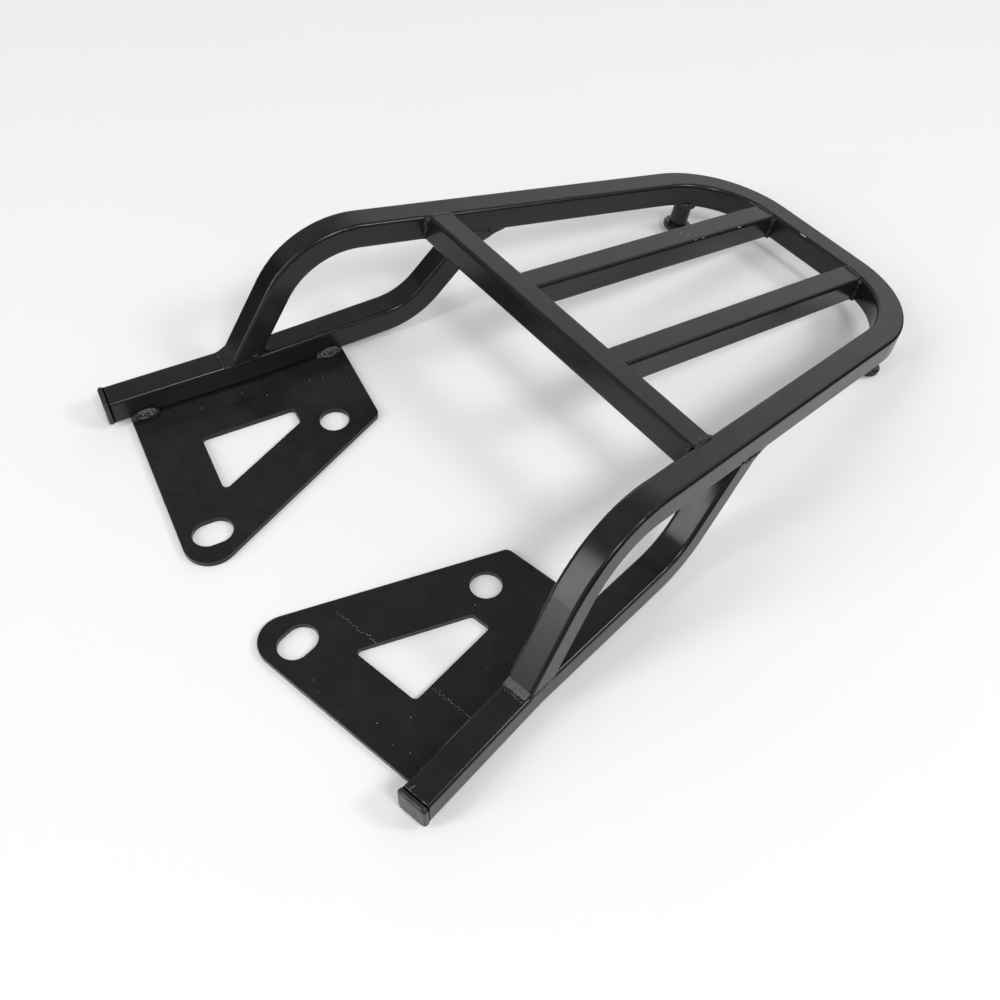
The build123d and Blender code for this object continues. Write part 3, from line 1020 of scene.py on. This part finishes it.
class RACK_OT_spatter_foot(bpy.types.Operator):
    """Drop weld spatter by the left foot: a ball on the rail and a lump on the seam"""
    bl_idname = "rack.spatter_foot"
    bl_label = "Spatter foot"

    def execute(self, context):
        p = set_out(context.scene.rack_sizes)
        ahead, inward = flip(p.rear_dir, LEFT), flip(-p.rear_out, LEFT)
        inner = p.foot + p.foot_half - p.rear_out * p.half
        mesh = bmesh.new()
        ball = flip(inner + p.rear_dir * 0.0042 + p.rear_out * 0.0030 + UP * 0.0009, LEFT)
        add_grain(mesh, ball, UP, ahead, long=0.0013, wide=0.0012, high=0.0012)
        lump = flip(inner - p.rear_dir * 0.0032 + UP * 0.0018, LEFT)
        add_grain(mesh, lump, inward, ahead, long=0.0023, wide=0.0011, high=0.0009)
        add_piece("left_foot_spatter", mesh, weld_coat(context.scene.rack_colours), "weld_paint")
        return {"FINISHED"}


class RACK_OT_scratch_rail(bpy.types.Operator):
    """Scratch the top of the right rail, close to its cap"""
    bl_idname = "rack.scratch_rail"
    bl_label = "Scratch rail"

    def execute(self, context):
        p = set_out(context.scene.rack_sizes)
        mesh = bmesh.new()
        along, inside = 0.0024, 0.0040
        spot = p.rail_front + UP * p.half + p.front_dir * along - p.front_out * inside
        lie = p.front_dir + p.front_out * 0.3
        add_grain(mesh, spot, UP, lie, long=0.0026, wide=0.0002, high=0.00006)
        add_piece("right_rail_scratch", mesh, grain_and_glint_coat(context.scene.rack_colours), "tube_paint")
        return {"FINISHED"}


class RACK_OT_stage(bpy.types.Operator):
    """Set up the white floor, the felts, the lamps, the room and the camera"""
    bl_idname = "rack.stage"
    bl_label = "Set up studio"

    def execute(self, context):
        scene = context.scene
        colours = scene.rack_colours
        floor_radius, floor_drop = 15, 0.0003
        mesh = bmesh.new()
        bmesh.ops.create_circle(mesh, cap_ends=True, segments=96, radius=floor_radius)
        bmesh.ops.translate(mesh, verts=mesh.verts, vec=(0, 0, -floor_drop))
        paper = studio_paper("studio paper, matt white", tuple(colours.floor))
        floor = new_object("studio_floor", mesh, paper)

        # black felts seen only in reflections: they keep the left leg and the tubes' edges dark
        cloth = dull_black("studio felt, black", tuple(colours.felt))
        felt_half, felt_height = 0.5, 0.5
        for word, turn, place in FELTS:
            mesh = bmesh.new()
            bmesh.ops.create_grid(mesh, x_segments=1, y_segments=1, size=felt_half)
            far = [e for e in mesh.edges if all(v.co.x > 0 for v in e.verts)]
            raised = bmesh.ops.extrude_edge_only(mesh, edges=far)["geom"]
            top = [g for g in raised if isinstance(g, bmesh.types.BMVert)]
            bmesh.ops.translate(mesh, verts=top, vec=(0, 0, felt_height))
            bmesh.ops.rotate(mesh, verts=mesh.verts, matrix=Matrix.Rotation(radians(turn), 3, "Z"))
            bmesh.ops.translate(mesh, verts=mesh.verts, vec=place)
            felt = new_object(word + "_felt", mesh, cloth)
            felt.visible_camera = False
            felt.visible_diffuse = False
            felt.visible_transmission = False
            felt.visible_shadow = False

        def lamp(name, place, width, height, power):
            """Hangs a softbox that faces the rack."""
            light = bpy.data.lights.new(name, "AREA")
            light.shape = "RECTANGLE"
            light.size = width
            light.size_y = height
            light.energy = power
            holder = bpy.data.objects.new(name, light)
            holder.location = place
            holder.rotation_euler = (middle - Vector(place)).to_track_quat("-Z", "Y").to_euler()
            scene.collection.objects.link(holder)

        middle = Vector((0, 0.1, 0.04))
        lamp("rear_softbox", (1.4, 1.3, 1.7), width=0.5, height=0.5, power=13)
        lamp("right_softbox", (1.5, -0.1, 1.9), width=0.5, height=0.5, power=14)
        lamp("front_softbox", (-0.36, -1.95, 1.22), width=0.54, height=2.4, power=24)

        # a pale wall behind to the left, darker walls elsewhere, a dim ceiling, walls that run into the floor
        world = bpy.data.worlds.new("studio_room")
        world.use_nodes = True
        scene.world = world
        tree = world.node_tree
        place = add_node(tree, "ShaderNodeTexCoord").outputs["Generated"]
        behind = add_node(tree, "ShaderNodeVectorMath", {
            0: place, 1: (-0.45, 0.89, 0),
        }, operation="DOT_PRODUCT")
        walls = ramp(tree, behind.outputs["Value"], 0.4, 0.9, 0.4, 1.0)
        height = add_node(tree, "ShaderNodeSeparateXYZ", {"Vector": place}).outputs["Z"]
        sweep = add_node(tree, "ShaderNodeMix", {
            FACTOR: ramp(tree, height, 0, 0.22), NUMBER_A: 0.5, NUMBER_B: walls,
        }, data_type="FLOAT")
        level = add_node(tree, "ShaderNodeMix", {
            FACTOR: ramp(tree, height, 0.4, 0.75), NUMBER_A: sweep.outputs[NUMBER_OUT], NUMBER_B: 0.33,
        }, data_type="FLOAT")
        tree.links.new(level.outputs[NUMBER_OUT], tree.nodes["Background"].inputs["Color"])

        # the camera that was fitted to the photo
        camera = bpy.data.cameras.new("camera")
        camera.lens = 42.509
        camera.sensor_width = 36
        camera.clip_start = 0.01
        azimuth, elevation, roll = radians(51.172), radians(51.641), radians(1.448)
        distance = 0.64286
        target = Vector((0.01156, 0.05236, -0.02713))
        back_dir = Vector((sin(azimuth) * cos(elevation), -cos(azimuth) * cos(elevation), sin(elevation)))
        right = UP.cross(back_dir).normalized()
        above = back_dir.cross(right)
        turned_right = right * cos(roll) + above * sin(roll)
        turned_up = above * cos(roll) - right * sin(roll)
        axes = Matrix((turned_right, turned_up, back_dir)).transposed()
        holder = bpy.data.objects.new("camera", camera)
        holder.matrix_world = Matrix.Translation(target + back_dir * distance) @ axes.to_4x4()
        scene.collection.objects.link(holder)
        scene.camera = holder
        scene.view_settings.view_transform = "Standard"
        return {"FINISHED"}


class RACK_PT_panel(bpy.types.Panel):
    """Steps and settings of the rack"""
    bl_idname = "RACK_PT_panel"
    bl_label = "Luggage rack"
    bl_space_type = "VIEW_3D"
    bl_region_type = "UI"
    bl_category = "Rack"

    def draw(self, context):
        layout = self.layout
        for step in STEPS:
            layout.operator(step.bl_idname)
        for key, kind in GROUPS:
            group = getattr(context.scene, key)
            box = layout.box()
            for name in group.__annotations__:
                box.prop(group, name)


STEPS = (
    RACK_OT_paint_tubes, RACK_OT_paint_plates, RACK_OT_mould_caps, RACK_OT_weld_legs, RACK_OT_weld_braces,
    RACK_OT_weld_crossbar, RACK_OT_weld_bars, RACK_OT_weld_plates, RACK_OT_weld_pegs, RACK_OT_add_grains,
    RACK_OT_chip_deck, RACK_OT_close_rail_ends, RACK_OT_spatter_foot, RACK_OT_scratch_rail, RACK_OT_stage,
)
GROUPS = (
    ("rack_sizes", RackSizes), ("rack_beads", BeadSizes),
    ("rack_marks", MarkSizes), ("rack_colours", RackColours),
)


def register():
    for name, group in GROUPS:
        bpy.utils.register_class(group)
        setattr(bpy.types.Scene, name, bpy.props.PointerProperty(type=group))
    for item in (*STEPS, RACK_PT_panel):
        bpy.utils.register_class(item)


def unregister():
    for item in (RACK_PT_panel, *reversed(STEPS)):
        bpy.utils.unregister_class(item)
    for name, group in reversed(GROUPS):
        delattr(bpy.types.Scene, name)
        bpy.utils.unregister_class(group)


def main():
    """Builds the rack's looks and its studio."""
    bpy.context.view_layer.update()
    register()
    bpy.ops.rack.paint_tubes()
    bpy.ops.rack.paint_plates()
    bpy.ops.rack.mould_caps()
    bpy.ops.rack.weld_legs()
    bpy.ops.rack.weld_braces()
    bpy.ops.rack.weld_crossbar()
    bpy.ops.rack.weld_bars()
    bpy.ops.rack.weld_plates()
    bpy.ops.rack.weld_pegs()
    bpy.ops.rack.add_grains()
    bpy.ops.rack.chip_deck()
    bpy.ops.rack.close_rail_ends()
    bpy.ops.rack.spatter_foot()
    bpy.ops.rack.scratch_rail()
    bpy.ops.rack.stage()


if __name__ == "__main__":
    main()
